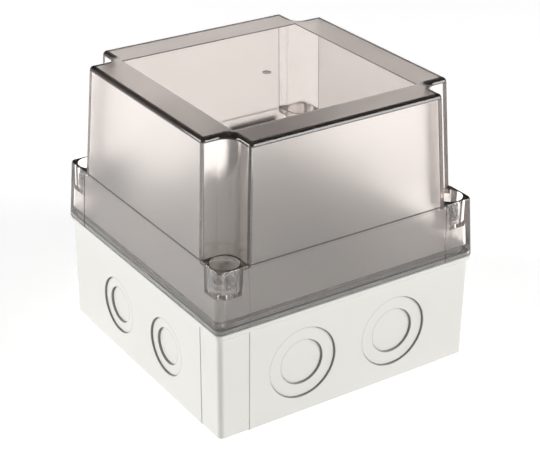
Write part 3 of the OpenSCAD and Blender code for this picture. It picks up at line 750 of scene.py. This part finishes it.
class ENCLOSURE_OT_stage(bpy.types.Operator):
    """Lays the pale floor, hangs the soft lamps and sets up the camera"""

    bl_idname = "enclosure.stage"
    bl_label = "Studio"

    def execute(self, context):
        scene = context.scene
        bpy.ops.object.select_all(action="DESELECT")
        bpy.ops.mesh.primitive_plane_add(size=sizes().floor_size, location=(0, 0, CAD_BOX[0].z))
        floor = context.object
        floor.name = "studio_floor"
        bpy.ops.object.transform_apply(location=True, rotation=True, scale=True)
        floor.data.materials.append(floor_material(tuple(colours().floor)))
        scene.world = studio_world(sizes().world_light, sizes().ceiling_light)
        for name, place, size, share in LAMPS:
            place_lamp(name, place, size, sizes().lamp_power * share)
        bpy.ops.object.camera_add(location=tuple(sizes().camera_place), rotation=tuple(sizes().camera_turn))
        camera = context.object
        camera.name = "studio_camera"
        camera.data.sensor_width = 36
        camera.data.lens = sizes().camera_lens
        camera.data.clip_start = 0.01
        camera.data.clip_end = 100
        scene.camera = camera
        scene.view_settings.view_transform = "Standard"
        return {"FINISHED"}


def seen_directly(tree, place):
    """1 for the rays that show the background, to the camera or through gloss and glass."""
    path = put(tree, "ShaderNodeLightPath", place)
    first = maths(tree, "ADD", path.outputs["Is Camera Ray"], path.outputs["Is Glossy Ray"],
                  place=(place[0] + 200, place[1]))
    return maths(tree, "ADD", first, path.outputs["Is Transmission Ray"],
                 place=(place[0] + 400, place[1]), clamp=True)


def floor_material(colour):
    """A matt floor that shows white, whiter far away, and keeps the shadow of what stands on it."""
    material, tree, shader = new_material("Studio floor")
    shader.inputs["Roughness"].default_value = 0.9
    shader.inputs["Specular IOR Level"].default_value = 0.1
    slow = put(tree, "ShaderNodeTexNoise", (-600, 300))
    slow.inputs["Scale"].default_value = 3
    where = put(tree, "ShaderNodeTexCoord", (-800, 300))
    tree.links.new(where.outputs["Object"], slow.inputs["Vector"])
    tone = maths(tree, "MULTIPLY_ADD", slow.outputs["Fac"], 0.01, 0.995, (-450, 300))
    tree.links.new(toned(tree, colour, tone), shader.inputs["Base Color"])
    shader.inputs["Emission Color"].default_value = (1, 1, 1, 1)
    path = put(tree, "ShaderNodeLightPath", (-900, -300))
    through = maths(tree, "ADD", path.outputs["Is Transmission Ray"], path.outputs["Is Glossy Ray"],
                    place=(-700, -300))
    through = maths(tree, "MULTIPLY", through, MIRROR_GLOW, place=(-500, -300))
    reach = put(tree, "ShaderNodeVectorMath", (-900, -100), operation="LENGTH")
    tree.links.new(where.outputs["Object"], reach.inputs[0])
    far = put(tree, "ShaderNodeMapRange", (-700, -100), interpolation_type="SMOOTHSTEP")
    tree.links.new(reach.outputs["Value"], far.inputs["Value"])
    far.inputs["From Min"].default_value = FAR_START
    far.inputs["From Max"].default_value = FAR_END
    bright = maths(tree, "MULTIPLY_ADD", far.outputs["Result"], FAR_GLOW, NEAR_GLOW, (-500, -100))
    glow = maths(tree, "MULTIPLY_ADD", path.outputs["Is Camera Ray"], bright, through, (-300, -300))
    tree.links.new(glow, shader.inputs["Emission Strength"])
    return material


def studio_world(walls, ceiling):
    """Pale studio walls, a dim ceiling, and a white background to what sees it directly."""
    world = bpy.data.worlds.new("Studio world")
    world.use_nodes = True
    tree = world.node_tree
    back = tree.nodes["Background"]
    back.inputs["Color"].default_value = (1, 1, 1, 1)
    where = put(tree, "ShaderNodeTexCoord", (-1500, 300))
    parts = put(tree, "ShaderNodeSeparateXYZ", (-1300, 300))
    tree.links.new(where.outputs["Generated"], parts.inputs[0])
    height = put(tree, "ShaderNodeMapRange", (-1100, 300), interpolation_type="SMOOTHSTEP")
    tree.links.new(parts.outputs["Z"], height.inputs["Value"])
    height.inputs["From Min"].default_value = CEILING_START
    height.inputs["From Max"].default_value = CEILING_END
    seen = seen_directly(tree, (-1500, 0))
    wall = maths(tree, "MULTIPLY_ADD", seen, 1.0 - walls, walls, (-700, 0))
    drop = maths(tree, "SUBTRACT", ceiling, wall, place=(-500, 100))
    level = maths(tree, "MULTIPLY_ADD", drop, height.outputs["Result"], wall, (-300, 100))
    path = put(tree, "ShaderNodeLightPath", (-500, -200))
    level = maths(tree, "MAXIMUM", level, path.outputs["Is Camera Ray"], place=(-100, 0))
    tree.links.new(level, back.inputs["Strength"])
    return world


def place_lamp(name, place, size, power):
    """A large soft lamp that looks at the middle of the enclosure."""
    bpy.ops.object.light_add(type="AREA", location=place)
    lamp = bpy.context.object
    lamp.name = name
    lamp.data.shape = "DISK"
    lamp.data.size = size
    lamp.data.energy = power
    aim = LAMP_AIM - Vector(place)
    lamp.rotation_euler = aim.to_track_quat("-Z", "Y").to_euler()
    return lamp


OPERATORS = (
    ENCLOSURE_OT_base, ENCLOSURE_OT_cover, ENCLOSURE_OT_gasket, ENCLOSURE_OT_cover_screws,
    ENCLOSURE_OT_catch_plates, ENCLOSURE_OT_fixing_caps, ENCLOSURE_OT_hinges, ENCLOSURE_OT_stage,
)


class ENCLOSURE_PT_panel(bpy.types.Panel):
    """Lists the steps that dress the enclosure"""

    bl_idname = "ENCLOSURE_PT_panel"
    bl_label = "Enclosure"
    bl_space_type = "VIEW_3D"
    bl_region_type = "UI"
    bl_category = "Enclosure"

    def draw(self, context):
        layout = self.layout
        for group in (context.scene.enclosure_colours, context.scene.enclosure_sizes):
            box = layout.box()
            for name in group.__class__.__annotations__:
                box.prop(group, name)
        for operator in OPERATORS:
            layout.operator(operator.bl_idname)


CLASSES = (EnclosureColours, EnclosureSizes) + OPERATORS + (ENCLOSURE_PT_panel,)


def register():
    for entry in CLASSES:
        bpy.utils.register_class(entry)
    bpy.types.Scene.enclosure_colours = bpy.props.PointerProperty(type=EnclosureColours)
    bpy.types.Scene.enclosure_sizes = bpy.props.PointerProperty(type=EnclosureSizes)


def unregister():
    del bpy.types.Scene.enclosure_sizes
    del bpy.types.Scene.enclosure_colours
    for entry in reversed(CLASSES):
        bpy.utils.unregister_class(entry)


def main():
    """Runs every step."""
    register()
    bpy.ops.enclosure.base()
    bpy.ops.enclosure.cover()
    bpy.ops.enclosure.gasket()
    bpy.ops.enclosure.cover_screws()
    bpy.ops.enclosure.catch_plates()
    bpy.ops.enclosure.fixing_caps()
    bpy.ops.enclosure.hinges()
    bpy.ops.enclosure.stage()
    bpy.context.view_layer.update()


if __name__ == "__main__":
    main()
